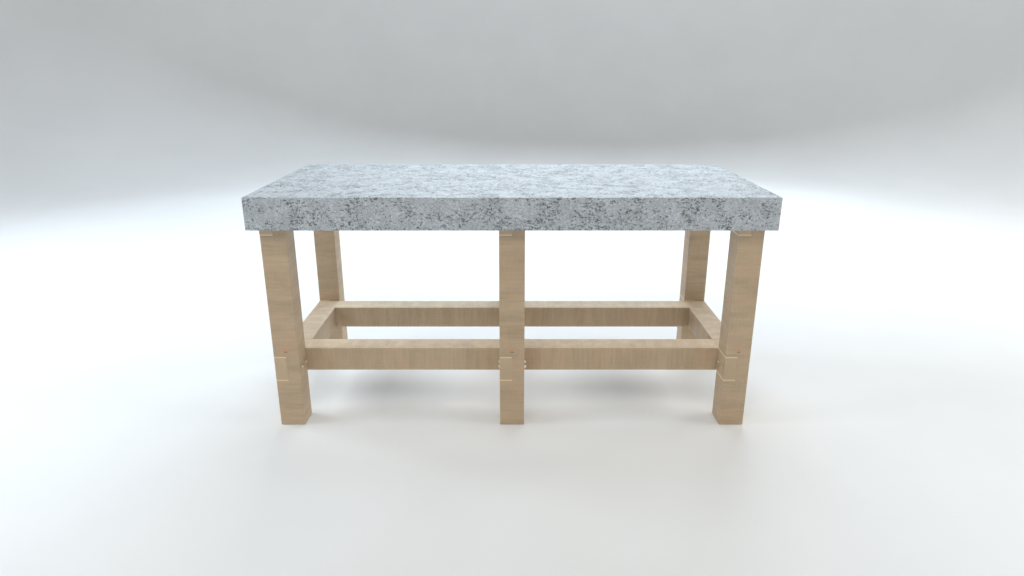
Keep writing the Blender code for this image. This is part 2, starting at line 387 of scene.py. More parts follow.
@cache
def dust_and_painted_top_light() -> bpy.types.NodeTree:
    """Builds a mark that lies on what faces up: fine dust, and on the timber also painted light that makes
    the up-facing faces paler.

    Returns:
        The group, which takes the position and the most dust and painted top light.
    """
    wiring, given, out = open_group(
        "Dust And Painted Top Light",
        "ShaderNodeTree",
        {"Position": VECTOR, "Amount": FLOAT},
        {"Dust And Top Light": FLOAT},
    )
    clouds = wiring.spread(wiring.noise(given["Position"], 24.0, 5.0, 0.65), 0.0, 0.92)
    lying = wiring.times(wiring.spread(wiring.upward(), 0.3, 0.95), clouds)
    wiring.feed(out["Dust And Top Light"], wiring.times(lying, given["Amount"]))
    return wiring.tree


@cache
def crystal_grain() -> bpy.types.NodeTree:
    """Builds interlocked crystals of one size: a random value for each and the seams between them.

    Returns:
        The group, which takes the position, how many crystals fit in a metre and how ragged they are.
    """
    wiring, given, out = open_group(
        "Crystal Grain",
        "ShaderNodeTree",
        {"Position": VECTOR, "Crystals Per Metre": FLOAT, "Raggedness": FLOAT},
        {"Crystal": FLOAT, "Seam": FLOAT},
    )
    per_metre = given["Crystals Per Metre"]
    warp = wiring.noise(given["Position"], per_metre, 3.0, 0.6, output="Color")
    centred = wiring.vector("SUBTRACT", warp, (0.5, 0.5, 0.5))
    pushed = wiring.scaled(centred, wiring.math("DIVIDE", given["Raggedness"], per_metre))
    place = wiring.vector("ADD", given["Position"], pushed)
    cells = {"Vector": place, "Scale": per_metre, "Randomness": 1.0}
    colour = wiring.node("ShaderNodeTexVoronoi", cells).outputs["Color"]
    wiring.feed(out["Crystal"], wiring.node("ShaderNodeSeparateColor", {"Color": colour}).outputs["Red"])
    seams = wiring.node("ShaderNodeTexVoronoi", cells, feature="DISTANCE_TO_EDGE").outputs["Distance"]
    wiring.feed(out["Seam"], wiring.spread(seams, 0.0, 0.07, 1.0, 0.0))
    return wiring.tree


def new_material(name: str) -> tuple[bpy.types.Material, Wiring, bpy.types.Node]:
    """Starts a material.

    Args:
        name: The material's name.

    Returns:
        The material, its wiring and its Principled shader.
    """
    material = bpy.data.materials.new(name)
    material.use_nodes = True
    return material, Wiring(material.node_tree), material.node_tree.nodes["Principled BSDF"]


@dataclass(frozen=True)
class GraniteFinish:
    """Light grey granite: a felt of feldspar and quartz with drifts of dark mica, sawn underneath."""

    feldspar: Colour = (0.565, 0.605, 0.645)
    quartz: Colour = (0.41, 0.442, 0.475)
    white_spar: Colour = (0.715, 0.755, 0.795)
    warm_spar: Colour = (0.50, 0.48, 0.465)
    grey_mica: Colour = (0.16, 0.175, 0.185)
    black_mica: Colour = (0.05, 0.055, 0.06)
    top_roughness: float = 0.56
    side_roughness: float = 0.58
    sawn_roughness: float = 0.80
    large_per_metre: float = 300.0
    small_per_metre: float = 760.0
    raggedness: float = 1.25
    seam_depth: float = 0.20
    grey_mica_depth: float = 0.60
    black_mica_depth: float = 0.72
    curl_reach: Triple = (0.024, 0.024, 0.024)
    wear_patches: float = 70.0
    wear: float = 0.45
    relief_depth: float = 0.35 * MM
    relief_strength: float = 0.8
    ior: float = 1.54

    def crystals(self, wiring: Wiring, place: Feed, per_metre: float) -> bpy.types.NodeOutputs:
        """Returns the outputs of one size of crystal."""
        return wiring.group(
            crystal_grain(), position=place, crystals_per_metre=per_metre, raggedness=self.raggedness
        )

    def drifts(self, wiring: Wiring, place: Feed) -> bpy.types.NodeSocket:
        """Finds where the mica gathers: short curling drifts that lie along the slab.

        Args:
            wiring: The material's wiring.
            place: The position on the stone.

        Returns:
            The density of the drifts.
        """
        curl = wiring.noise(place, 24.0, output="Color")
        bent = wiring.vector("MULTIPLY", wiring.vector("SUBTRACT", curl, (0.5, 0.5, 0.5)), self.curl_reach)
        laid = wiring.vector("MULTIPLY", wiring.vector("ADD", place, bent), (0.48, 0.62, 1.0))
        gathered = wiring.spread(wiring.noise(place, 19.0, 3.0, 0.55), 0.34, 0.68, -0.10, 0.08)
        return wiring.plus(wiring.noise(laid, 165.0, 2.0, 0.55), gathered)

    def groundmass(self, wiring: Wiring, place: Feed, mid: Feed, fine: Feed) -> bpy.types.NodeSocket:
        """Returns the colour of the feldspar and quartz, before the mica.

        Args:
            wiring: The material's wiring.
            place: The position on the stone.
            mid: The random value of each large crystal.
            fine: The random value of each small crystal.

        Returns:
            The colour.
        """
        milky = wiring.times(wiring.noise(place, 900.0, 5.0, 0.72), 0.62)
        mixed = wiring.plus(wiring.times(mid, 0.55), wiring.times(fine, 0.25))
        stone = wiring.mix(wiring.spread(wiring.plus(mixed, milky), 0.38, 1.04), self.feldspar, self.quartz)
        white = wiring.spread(mid, 0.13, 0.09, 0.0, 0.75)
        white = wiring.times(white, wiring.spread(milky, 0.40, 0.24, 0.35, 1.0))
        stone = wiring.mix(white, stone, self.white_spar)
        clouds = wiring.spread(wiring.noise(place, 22.0, 4.0, 0.55), 0.3, 0.7, 0.88, 1.08)
        shade = wiring.node("ShaderNodeCombineColor", {0: clouds, 1: clouds, 2: clouds}).outputs[0]
        stone = wiring.mix(1.0, stone, shade, "MULTIPLY")
        warm = wiring.spread(wiring.noise(place, 55.0, 2.0, 0.5), 0.55, 0.75, 0.0, 0.30)
        return wiring.mix(warm, stone, self.warm_spar)

    def build(self) -> bpy.types.Material:
        """Builds the stone's material.

        Returns:
            The material.
        """
        material, wiring, shader = new_material("light_grey_granite")
        place = wiring.node("ShaderNodeTexCoord").outputs["Object"]
        mid = self.crystals(wiring, place, self.large_per_metre)
        fine = self.crystals(wiring, place, self.small_per_metre)
        stone = self.groundmass(wiring, place, mid["Crystal"], fine["Crystal"])
        stone = wiring.mix(wiring.times(mid["Seam"], self.seam_depth), stone, self.quartz)
        chance = wiring.spread(self.drifts(wiring, place), 0.43, 0.66, 0.02, 0.78)
        small = wiring.spread(wiring.plus(fine["Crystal"], chance), 0.94, 1.14)
        stone = wiring.mix(wiring.times(small, self.grey_mica_depth), stone, self.grey_mica)
        large = wiring.plus(mid["Crystal"], wiring.times(chance, 0.42))
        large = wiring.spread(large, 1.0, 1.03)
        stone = wiring.mix(wiring.times(large, self.black_mica_depth), stone, self.black_mica)
        wear = wiring.group(edge_wear(), position=place, patch_scale=self.wear_patches, amount=self.wear)
        stone = wiring.mix(wear["Wear"], stone, self.white_spar)
        wiring.feed(shader.inputs["Base Color"], stone)
        self.dress_surface(wiring, shader, place, mid["Crystal"], wiring.math("MAXIMUM", small, large))
        return material

    def dress_surface(
        self,
        wiring: Wiring,
        shader: bpy.types.Node,
        place: bpy.types.NodeSocket,
        crystal: bpy.types.NodeSocket,
        mica: bpy.types.NodeSocket,
    ) -> None:
        """Sets the stone's gloss and relief.

        Args:
            wiring: The material's wiring.
            shader: Its Principled shader.
            place: The position on the stone.
            crystal: The random value of each large crystal.
            mica: Where the stone is mica, which takes less polish.
        """
        upward = wiring.upward()
        sides = wiring.spread(upward, 0.45, 0.95, self.side_roughness, self.top_roughness)
        under = wiring.spread(upward, -0.9, -0.5, self.sawn_roughness - self.side_roughness, 0.0)
        smears = wiring.spread(wiring.noise(place, 9.0, 5.0, 0.6), 0.3, 0.7, -0.04, 0.06)
        gloss = wiring.plus(wiring.plus(sides, under), smears)
        gloss = wiring.plus(gloss, wiring.times(mica, 0.14))
        gloss = wiring.plus(gloss, wiring.times(crystal, 0.08), clamp=True)
        wiring.feed(shader.inputs["Roughness"], gloss)
        sawn = wiring.noise(place, 420.0, 4.0, 0.7)
        relief = wiring.plus(wiring.times(sawn, 0.55), wiring.times(crystal, 0.25))
        relief = wiring.minus(relief, wiring.times(mica, 0.4))
        depth = wiring.spread(upward, 0.45, 0.95, 1.0, 0.12)
        wiring.relief(shader, wiring.times(relief, depth), self.relief_depth, self.relief_strength)
        shader.inputs["IOR"].default_value = self.ior


@dataclass(frozen=True)
class TimberFinish:
    """Planed pale hardwood with a thin matt oil. The board's own attributes place its figure."""

    name: str
    pale: Colour
    deep: Colour
    blush: Colour = (0.62, 0.40, 0.27)
    fleck: Colour = (0.22, 0.115, 0.06)
    bare: Colour = (0.70, 0.56, 0.39)
    halo: Colour = (0.60, 0.335, 0.205)
    heart: Colour = (0.12, 0.055, 0.03)
    glue: Colour = (0.24, 0.15, 0.085)
    # Pale colour laid on up-facing faces: dust, and painted light that makes the tops paler.
    dust_and_top_light: Colour = (0.93, 0.78, 0.60)
    knots: tuple[tuple[Triple, float], ...] = ()
    roughness: float = 0.56
    wear_patches: float = 38.0
    wear: float = 0.35
    dust_and_top_light_amount: float = 0.66
    halo_depth: float = 0.62
    heart_depth: float = 0.86
    relief_depth: float = 0.22 * MM
    relief_strength: float = 0.7

    def build(self) -> bpy.types.Material:
        """Builds the timber's material.

        Returns:
            The material.
        """
        material, wiring, shader = new_material(self.name)
        place = wiring.attribute("board_position", "Vector")
        figure = wiring.group(board_figure(), position=place, seed=wiring.attribute("board_seed"))
        wood = wiring.mix(figure["Ripple"], self.deep, self.pale)
        wood = wiring.mix(wiring.times(figure["Blush"], 0.34), wood, self.blush)
        end_grain = wiring.attribute("end_grain")
        ring_depth = wiring.spread(end_grain, 0.0, 1.0, 0.08, 0.24)
        wood = wiring.mix(wiring.times(figure["Rings"], ring_depth), wood, self.blush, "MULTIPLY")
        wood = wiring.mix(wiring.spread(figure["Fibre"], 0.35, 0.75, 0.0, 0.24), wood, self.bare)
        flecks = wiring.times(figure["Flecks"], wiring.spread(end_grain, 0.0, 1.0, 0.42, 0.08))
        wood = wiring.mix(flecks, wood, self.fleck)
        wood = wiring.mix(wiring.times(end_grain, 0.20), wood, self.bare)
        for centre, size in self.knots:
            knot = wiring.group(knot_figure(), position=place, centre=centre, size=size)
            wood = wiring.mix(wiring.times(knot["Halo"], self.halo_depth), wood, self.halo)
            wood = wiring.mix(wiring.times(knot["Heart"], self.heart_depth), wood, self.heart)
        wear = wiring.group(edge_wear(), position=place, patch_scale=self.wear_patches, amount=self.wear)
        worn = wear["Wear"]
        wood = wiring.mix(worn, wood, self.bare)
        glue = wiring.spread(wiring.attribute("glue_line"), 0.35, 0.95, 0.0, 0.62)
        wood = wiring.mix(glue, wood, self.glue)
        # Painted top light: up-facing faces are mixed towards a pale colour, as dust would lie, so that they
        # read lighter.
        dust_and_top_light = wiring.group(dust_and_painted_top_light(), position=place, amount=self.dust_and_top_light_amount)["Dust And Top Light"]
        wood = wiring.mix(dust_and_top_light, wood, self.dust_and_top_light)
        wiring.feed(shader.inputs["Base Color"], wood)
        gloss = wiring.spread(figure["Fibre"], 0.3, 0.8, self.roughness - 0.06, self.roughness + 0.10)
        gloss = wiring.plus(gloss, wiring.times(end_grain, 0.14))
        gloss = wiring.minus(gloss, wiring.times(worn, 0.12))
        gloss = wiring.plus(gloss, wiring.times(dust_and_top_light, 0.6), clamp=True)
        wiring.feed(shader.inputs["Roughness"], gloss)
        relief = wiring.minus(wiring.times(figure["Fibre"], 0.8), wiring.times(figure["Flecks"], 0.5))
        relief = wiring.plus(relief, wiring.times(figure["Ripple"], 0.5))
        wiring.relief(shader, relief, self.relief_depth, self.relief_strength)
        return material


@dataclass(frozen=True)
class ZincFinish:
    """Bright zinc plate with fine scratches and a slightly warm cast."""

    bright: Colour = (0.86, 0.84, 0.80)
    dull: Colour = (0.74, 0.735, 0.72)
    worn: Colour = (0.92, 0.91, 0.89)
    dust_and_top_light: Colour = (0.70, 0.66, 0.60)
    roughness: float = 0.27
    wear_patches: float = 420.0
    wear: float = 0.5
    dust_and_top_light_amount: float = 0.10
    relief_depth: float = 0.02 * MM
    relief_strength: float = 0.5

    def build(self) -> bpy.types.Material:
        """Builds the plated steel's material.

        Returns:
            The material.
        """
        material, wiring, shader = new_material("bright_zinc_plate")
        place = wiring.node("ShaderNodeTexCoord").outputs["Object"]
        spangle = wiring.noise(place, 420.0, 2.0, 0.5)
        scratches = wiring.noise(wiring.vector("MULTIPLY", place, (1.0, 0.12, 1.0)), 5200.0, 2.0, 0.7)
        wear = wiring.group(edge_wear(), position=place, patch_scale=self.wear_patches, amount=self.wear)
        # On the zinc the same mark is only a little darker dust on what faces up.
        dust_and_top_light = wiring.group(dust_and_painted_top_light(), position=place, amount=self.dust_and_top_light_amount)["Dust And Top Light"]
        metal = wiring.mix(wiring.spread(spangle, 0.35, 0.7), self.bright, self.dull)
        metal = wiring.mix(wear["Wear"], metal, self.worn)
        wiring.feed(shader.inputs["Base Color"], wiring.mix(dust_and_top_light, metal, self.dust_and_top_light))
        gloss = wiring.spread(scratches, 0.3, 0.75, self.roughness - 0.06, self.roughness + 0.16)
        wiring.feed(shader.inputs["Roughness"], wiring.plus(gloss, dust_and_top_light, clamp=True))
        wiring.relief(shader, scratches, self.relief_depth, self.relief_strength)
        shader.inputs["Metallic"].default_value = 1.0
        return material


@cache
def rubbed_arris_tree() -> bpy.types.NodeTree:
    """Builds the tree that wears or chips a mesh inwards along its arrises, where noise passes a threshold.

    Returns:
        The tree.
    """
    wiring, given, out = open_group(
        "Rubbed Arris",
        "GeometryNodeTree",
        {
            "Geometry": GEOMETRY,
            "Depth": FLOAT,
            "Grain": FLOAT,
            "Threshold": FLOAT,
            "Seed": FLOAT,
            "Finish": MATERIAL,
        },
        {"Geometry": GEOMETRY},
    )
    arris = wiring.node("GeometryNodeInputNamedAttribute", {"Name": "arris"}, data_type="FLOAT")
    place = wiring.node("GeometryNodeInputPosition").outputs[0]
    noise = wiring.node(
        "ShaderNodeTexNoise",
        {"Vector": place, "W": given["Seed"], "Scale": given["Grain"], "Detail": 3.0},
        noise_dimensions="4D",
    ).outputs[0]
    limits = {"From Min": given["Threshold"], "From Max": 0.8}
    bite = wiring.node("ShaderNodeMapRange", {"Value": noise, **limits})
    depth = wiring.times(wiring.times(bite.outputs["Result"], arris.outputs["Attribute"]), given["Depth"])
    offset = wiring.scaled(wiring.node("GeometryNodeInputNormal").outputs[0], wiring.times(depth, -1.0))
    moved = wiring.node("GeometryNodeSetPosition", {"Geometry": given["Geometry"], "Offset": offset})
    real = wiring.node("GeometryNodeRealizeInstances", {"Geometry": moved.outputs[0]})
    finish = {"Geometry": real.outputs[0], "Material": given["Finish"]}
    dressed = wiring.node("GeometryNodeSetMaterial", finish)
    wiring.feed(out["Geometry"], dressed.outputs[0])
    return wiring.tree


@cache
def set_out_tree() -> bpy.types.NodeTree:
    """Builds the tree that sets a pattern piece at each point, turned about X and slid along Y by chance.

    Returns:
        The tree.
    """
    wiring, given, out = open_group(
        "Set Out",
        "GeometryNodeTree",
        {
            "Geometry": GEOMETRY,
            "Pattern": OBJECT,
            "Turn": FLOAT,
            "Slide": FLOAT,
            "Seed": WHOLE,
            "Finish": MATERIAL,
        },
        {"Geometry": GEOMETRY},
    )

    def chance(lowest: Feed, highest: Feed, offset: int) -> bpy.types.NodeSocket:
        """Draws a random value for each point.

        Args:
            lowest: The least value.
            highest: The most.
            offset: Added to the seed, so that each draw differs.

        Returns:
            The value.
        """
        made = wiring.node(
            "FunctionNodeRandomValue",
            {2: lowest, 3: highest, "Seed": wiring.plus(given["Seed"], float(offset))},
            data_type="FLOAT",
        )
        return made.outputs[1]

    turn = wiring.joined({"X": chance(0.0, given["Turn"], 0)})
    slid = wiring.joined({"Y": chance(wiring.times(given["Slide"], -1.0), given["Slide"], 1)})
    points = wiring.node("GeometryNodeSetPosition", {"Geometry": given["Geometry"], "Offset": slid})
    pattern = wiring.node("GeometryNodeObjectInfo", {"Object": given["Pattern"]})
    copies = wiring.node(
        "GeometryNodeInstanceOnPoints",
        {"Points": points.outputs[0], "Instance": pattern.outputs["Geometry"], "Rotation": turn},
    )
    seeded = wiring.node(
        "GeometryNodeStoreNamedAttribute",
        {"Geometry": copies.outputs[0], "Name": "board_seed", "Value": chance(0.0, 9.0, 2)},
        data_type="FLOAT",
        domain="INSTANCE",
    )
    real = wiring.node("GeometryNodeRealizeInstances", {"Geometry": seeded.outputs[0]})
    finish = {"Geometry": real.outputs[0], "Material": given["Finish"]}
    dressed = wiring.node("GeometryNodeSetMaterial", finish)
    wiring.feed(out["Geometry"], dressed.outputs[0])
    return wiring.tree


def link_object(name: str, data: bpy.types.ID) -> bpy.types.Object:
    """Adds an object with a mesh, lamp or camera to the scene."""
    made = bpy.data.objects.new(name, data)
    bpy.context.scene.collection.objects.link(made)
    return made


def finished_mesh(bm: bmesh.types.BMesh, name: str) -> bpy.types.Mesh:
    """Turns a working mesh into a named one and frees it.

    Args:
        bm: The working mesh.
        name: The mesh's name.

    Returns:
        The mesh.
    """
    mesh = bpy.data.meshes.new(name)
    bm.to_mesh(mesh)
    bm.free()
    return mesh


def run_tree(
    name: str, mesh: bpy.types.Mesh, tree: bpy.types.NodeTree, inputs: dict[str, Feed]
) -> bpy.types.Object:
    """Runs a geometry tree on a mesh and keeps the result as a plain piece.

    The larger faces then rule the shading, so that flats stay flat and small rounds look round.

    Args:
        name: The finished piece's name.
        mesh: The mesh that the tree starts from.
        tree: The geometry tree.
        inputs: The value of each named input.

    Returns:
        The finished piece, with no modifier.
    """
    draft = link_object(name + "_draft", mesh)
    modifier = draft.modifiers.new("tree", "NODES")
    modifier.node_group = tree
    for item in tree.interface.items_tree:
        if item.in_out == "INPUT" and item.name in inputs:
            modifier[item.identifier] = inputs[item.name]
    draft.modifiers.new("even_shading", "WEIGHTED_NORMAL").keep_sharp = True
    draft.update_tag()
    graph = bpy.context.evaluated_depsgraph_get()
    graph.update()
    made = bpy.data.meshes.new_from_object(draft.evaluated_get(graph), depsgraph=graph)
    bpy.data.objects.remove(draft)
    made.name = name
    return link_object(name, made)


def hang(piece: bpy.types.Object, nodes: Iterable[str]) -> None:
    """Hangs a finished piece on the frame.

    Args:
        piece: The piece.
        nodes: The frame's nodes that it stands for.
    """
    stood_for = list(nodes)
    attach(piece, BODY)
    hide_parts(*stood_for)
    LOG.info("%s: %d faces, stands for %d nodes", piece.name, len(piece.data.polygons), len(stood_for))


def box_middle(node: str) -> Vector:
    """Returns the middle of a node's box."""
    low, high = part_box(node)
    return (low + high) / 2


def box_size(node: str) -> Vector:
    """Returns the size of a node's box."""
    low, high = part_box(node)
    return high - low


def mark_arrises(bm: bmesh.types.BMesh, crisp_above: float = 50.0) -> None:
    """Writes 1 on each vertex of an arris and 0 on each inside a flat face, and says which edges shade crisp.

    Args:
        bm: The mesh.
        crisp_above: The angle in degrees between two faces past which their edge is crisp.
    """
    layer = bm.verts.layers.float.new("arris")
    for vertex in bm.verts:
        turned = any(edge.calc_face_angle(0.0) > ARRIS_ANGLE for edge in vertex.link_edges)
        vertex[layer] = 1.0 if turned else 0.0
    for face in bm.faces:
        face.smooth = True
    for edge in bm.edges:
        edge.smooth = edge.calc_face_angle(0.0) < math.radians(crisp_above)


@dataclass
class GraniteSlab:
    """The slab: honed on top and at its sides, sawn underneath, with small uneven chips along its arrises."""

    node: str = "granite_slab"
    arris: float = 2.0 * MM
    step: float = 3.2 * MM
    inner_margin: float = 40 * MM
    chip_depth: float = 2.6 * MM
    chips_per_metre: float = 95.0
    chip_threshold: float = 0.55
    seed: float = 4.0
    finish: GraniteFinish = field(default_factory=GraniteFinish)

    def outline(self, half: Vector) -> list[Vector]:
        """Returns the slab's outline in plan, with a small round at each corner.

        Args:
            half: Half of the slab's size.

        Returns:
            The points, anticlockwise from above.
        """
        points = []
        turns = ((1, -1, -90), (1, 1, 0), (-1, 1, 90), (-1, -1, 180))
        for number, (sign_x, sign_y, start) in enumerate(turns):
            middle = Vector((sign_x * (half.x - self.arris), sign_y * (half.y - self.arris)))
            for part in range(4):
                angle = math.radians(start + 30 * part)
                points.append(middle + self.arris * Vector((math.cos(angle), math.sin(angle))))
            after_x, after_y, after_start = turns[(number + 1) % 4]
            angle = math.radians(after_start)
            following = Vector((after_x * (half.x - self.arris), after_y * (half.y - self.arris)))
            following += self.arris * Vector((math.cos(angle), math.sin(angle)))
            last = points[-1]
            count = round((following - last).length / self.step)
            points += [last.lerp(following, part / count) for part in range(1, count)]
        return points

    def levels(self, half: Vector) -> list[tuple[float, float]]:
        """Works out the rings of the slab's rim.

        Args:
            half: Half of the slab's size.

        Returns:
            The inset and height of each ring, from the top down.
        """
        arc = [math.radians(angle) for angle in (90, 60, 30, 0)]
        rim = [(self.inner_margin, half.z), (12 * MM, half.z), (5 * MM, half.z)]
        rim += [(self.arris * (1 - math.cos(a)), half.z - self.arris * (1 - math.sin(a))) for a in arc]
        drops = (3.5, 7, 14, 26, 38)
        rim += [(0.0, half.z - self.arris - drop * MM) for drop in drops]
        return rim + [(inset, -height) for inset, height in reversed(rim)]

    def mesh(self) -> bpy.types.Mesh:
        """Makes the slab's mesh, in place.

        Returns:
            The mesh.
        """
        half = box_size(self.node) / 2
        middle = box_middle(self.node)
        outline = self.outline(half)
        bm = bmesh.new()
        rings = []
        for inset, height in self.levels(half):
            shrink = Vector(((half.x - inset) / half.x, (half.y - inset) / half.y))
            places = [middle + Vector((p.x * shrink.x, p.y * shrink.y, height)) for p in outline]
            rings.append([bm.verts.new(place) for place in places])
        count = len(outline)
        for ring, below in zip(rings, rings[1:]):
            for number in range(count):
                after = (number + 1) % count
                bm.faces.new((ring[after], ring[number], below[number], below[after]))
        bm.faces.new(rings[0])
        bm.faces.new(list(reversed(rings[-1])))
        mark_arrises(bm)
        return finished_mesh(bm, self.node)

    def build(self) -> None:
        """Makes the slab and hangs it on the frame."""
        settings = {
            "Depth": self.chip_depth,
            "Grain": self.chips_per_metre,
            "Threshold": self.chip_threshold,
            "Seed": self.seed,
            "Finish": self.finish.build(),
        }
        piece = run_tree("honed_granite_slab", self.mesh(), rubbed_arris_tree(), settings)
        hang(piece, [self.node])


@dataclass
class Board:
    """One timber: a merged and finely divided copy of its frame node, with its figure's attributes."""

    node: str
    along: Along
    seed: float
    finish: bpy.types.Material
    turned: bool = False
    shoulders: tuple[float, ...] = ()
    slot: str = "bench_timber"
    spacing: float = 12 * MM
    margin: float = 3 * MM
    joint_arris: float = 0.35 * MM
    joint_share: float = 0.2
    outer_reach: float = 1.8 * MM
    rub_depth: float = 0.9 * MM
    rubs_per_metre: float = 40.0
    rub_threshold: float = 0.5
    shoulder_length: float = 14 * MM
    end_margin: float = 0.5 * MM
    least_gap: float = 1.2 * MM
    glue_reach: float = 0.6 * MM

    def cut_places(self, bm: bmesh.types.BMesh, axis: int) -> list[float]:
        """Finds where the board is divided along one axis.

        Args:
            bm: The board's merged mesh.
            axis: 0, 1 or 2 for X, Y or Z.

        Returns:
            The places of the cuts, in order.
        """
        shoulders = set()
        for edge in bm.edges:
            if edge.calc_length() > self.shoulder_length and edge.calc_face_angle(0.0) > SHOULDER_ANGLE:
                start, end = edge.verts[0].co[axis], edge.verts[1].co[axis]
                if abs(start - end) < SAME_PLANE:
                    shoulders.add(round(start / MM, 1) * MM)
        low = min(vertex.co[axis] for vertex in bm.verts)
        high = max(vertex.co[axis] for vertex in bm.verts)
        places = {round((place + side * self.margin) / MM, 1) for place in shoulders for side in (-1, 1)}
        count = round((high - low) / self.spacing)
        places |= {round((low + (high - low) * part / count) / MM, 1) for part in range(1, count)}
        kept: list[float] = []
        for place in sorted(places):
            inside = low + self.end_margin < place * MM < high - self.end_margin
            if inside and (not kept or place * MM - kept[-1] > self.least_gap):
                kept.append(place * MM)
        return kept

    def mesh(self) -> bpy.types.Mesh:
        """Makes the board's mesh, in place.

        Returns:
            The mesh.
        """
        bm = bmesh.new()
        bm.from_mesh(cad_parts[self.node].data)
        bmesh.ops.remove_doubles(bm, verts=bm.verts, dist=SAME_PLANE)
        bmesh.ops.dissolve_limit(bm, angle_limit=math.radians(1), verts=bm.verts, edges=bm.edges)
        outward = [edge for edge in bm.edges if edge.is_manifold and edge.is_convex]
        bmesh.ops.bevel(
            bm,
            geom=[edge for edge in outward if edge.calc_face_angle(0.0) > CORNER_ANGLE],
            offset=self.joint_arris,
            offset_type="OFFSET",
            segments=1,
            affect="EDGES",
            clamp_overlap=True,
        )
        bmesh.ops.triangulate(bm, faces=bm.faces)
        for axis in range(3):
            across = Vector([float(axis == number) for number in range(3)])
            for place in self.cut_places(bm, axis):
                bmesh.ops.bisect_plane(
                    bm,
                    geom=[*bm.verts, *bm.edges, *bm.faces],
                    dist=0.001 * MM,
                    plane_co=across * place,
                    plane_no=across,
                )
        bmesh.ops.dissolve_degenerate(bm, dist=0.005 * MM, edges=bm.edges)
        mark_arrises(bm)
        self.mark_figure(bm)
        return finished_mesh(bm, self.node)

    def mark_figure(self, bm: bmesh.types.BMesh) -> None:
        """Writes the place of each vertex on the board, the board's seed and which faces are end grain.

        Args:
            bm: The board's divided mesh.
        """
        low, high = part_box(self.node)
        foot = (low + high) / 2
        axis = self.along.value
        foot[axis] = low[axis]
        others = [number for number in range(3) if number != axis]
        position = bm.verts.layers.float_vector.new("board_position")
        seed = bm.verts.layers.float.new("board_seed")
        glue = bm.verts.layers.float.new("glue_line")
        end_grain = bm.faces.layers.float.new("end_grain")
        facing = -1.0 if self.turned else 1.0
        arris = bm.verts.layers.float["arris"]
        for vertex in bm.verts:
            depths = [min(vertex.co[n] - low[n], high[n] - vertex.co[n]) for n in range(3)]
            outer = sum(depth < self.outer_reach for depth in depths) > 1
            vertex[arris] *= 1.0 if outer else self.joint_share
            offset = vertex.co - foot
            vertex[position] = Vector((facing * offset[others[0]], facing * offset[others[1]], offset[axis]))
            vertex[seed] = self.seed
            level = abs(vertex.co[axis])
            butted = any(abs(level - shoulder) < self.glue_reach for shoulder in self.shoulders)
            vertex[glue] = 1.0 if butted else 0.0
        for face in bm.faces:
            face.normal_update()
            face[end_grain] = 1.0 if abs(face.normal[axis]) > 0.8 else 0.0

    def build(self) -> None:
        """Makes the board and hangs it on the frame."""
        settings = {
            "Depth": self.rub_depth,
            "Grain": self.rubs_per_metre,
            "Threshold": self.rub_threshold,
            "Seed": self.seed,
            "Finish": self.finish,
        }
        piece = run_tree(self.node + "_timber", self.mesh(), rubbed_arris_tree(), settings)
        hang(piece, [self.node])


@dataclass
class TimberFrame:
    """The posts, stretchers, cross rails and slab bearers."""

    knot_level: float = 0.262
    post_face: float = -40 * MM

    def posts_finish(self) -> bpy.types.Material:
        """Builds the finish of the posts, with a knot low on the front and smaller ones on other sides.

        Returns:
            The material.
        """
        knots = (
            ((0.001, self.post_face, self.knot_level), 7.5 * MM),
            ((-0.040, 0.012, 0.415), 4.0 * MM),
            ((0.012, 0.040, 0.560), 4.5 * MM),
        )
        pale, deep = (0.575, 0.438, 0.291), (0.424, 0.316, 0.202)
        return TimberFinish("oiled_beech_posts", pale, deep, knots=knots).build()

    def rails_finish(self) -> bpy.types.Material:
        """Builds the finish of the stretchers, rails and bearers.

        Returns:
            The material.
        """
        knots = (
            ((0.040, 0.012, 0.704), 5.0 * MM),
            ((0.040, -0.016, 1.190), 4.5 * MM),
            ((0.010, -0.040, 0.930), 5.0 * MM),
        )
        pale, deep = (0.610, 0.465, 0.312), (0.455, 0.340, 0.220)
        return TimberFinish("oiled_beech_rails", pale, deep, knots=knots).build()

    def build(self) -> None:
        """Makes every timber and hangs it on the frame."""
        posts = self.posts_finish()
        rails = self.rails_finish()
        for number, joint in enumerate(joint_names()):
            turned = joint.startswith(Row.BACK.value)
            Board(f"{joint}_post", Along.Z, 0.6 + 1.37 * number, posts, turned).build()
        for number, row in enumerate(Row):
            Board(f"{row.value}_stretcher", Along.X, 11.2 + 2.1 * number, rails).build()
        back_stretcher = f"{Row.BACK.value}_stretcher"
        shoulders = (box_middle(back_stretcher).y - box_size(back_stretcher).y / 2,)
        for number, column in enumerate(Column):
            cross_rail = f"{column.value}_cross_rail"
            Board(cross_rail, Along.Y, 17.5 + 1.7 * number, rails, shoulders=shoulders).build()
            Board(f"{column.value}_slab_bearer", Along.Y, 24.3 + 1.3 * number, rails).build()


def set_out(
    name: str, nodes: Sequence[str], pattern: bpy.types.Object, settings: dict[str, Feed]
) -> None:
    """Sets a copy of the pattern in the middle of each node, and hangs them as one piece.

    Args:
        name: The finished piece's name.
        nodes: The frame's nodes that the copies stand for.
        pattern: The piece that is copied, which is then removed.
        settings: The values of the tree's other inputs.
    """
    places = bpy.data.meshes.new("places")
    places.from_pydata([tuple(box_middle(node)) for node in nodes], [], [])
    piece = run_tree(name, places, set_out_tree(), {"Pattern": pattern, **settings})
    bpy.data.objects.remove(pattern)
    hang(piece, nodes)


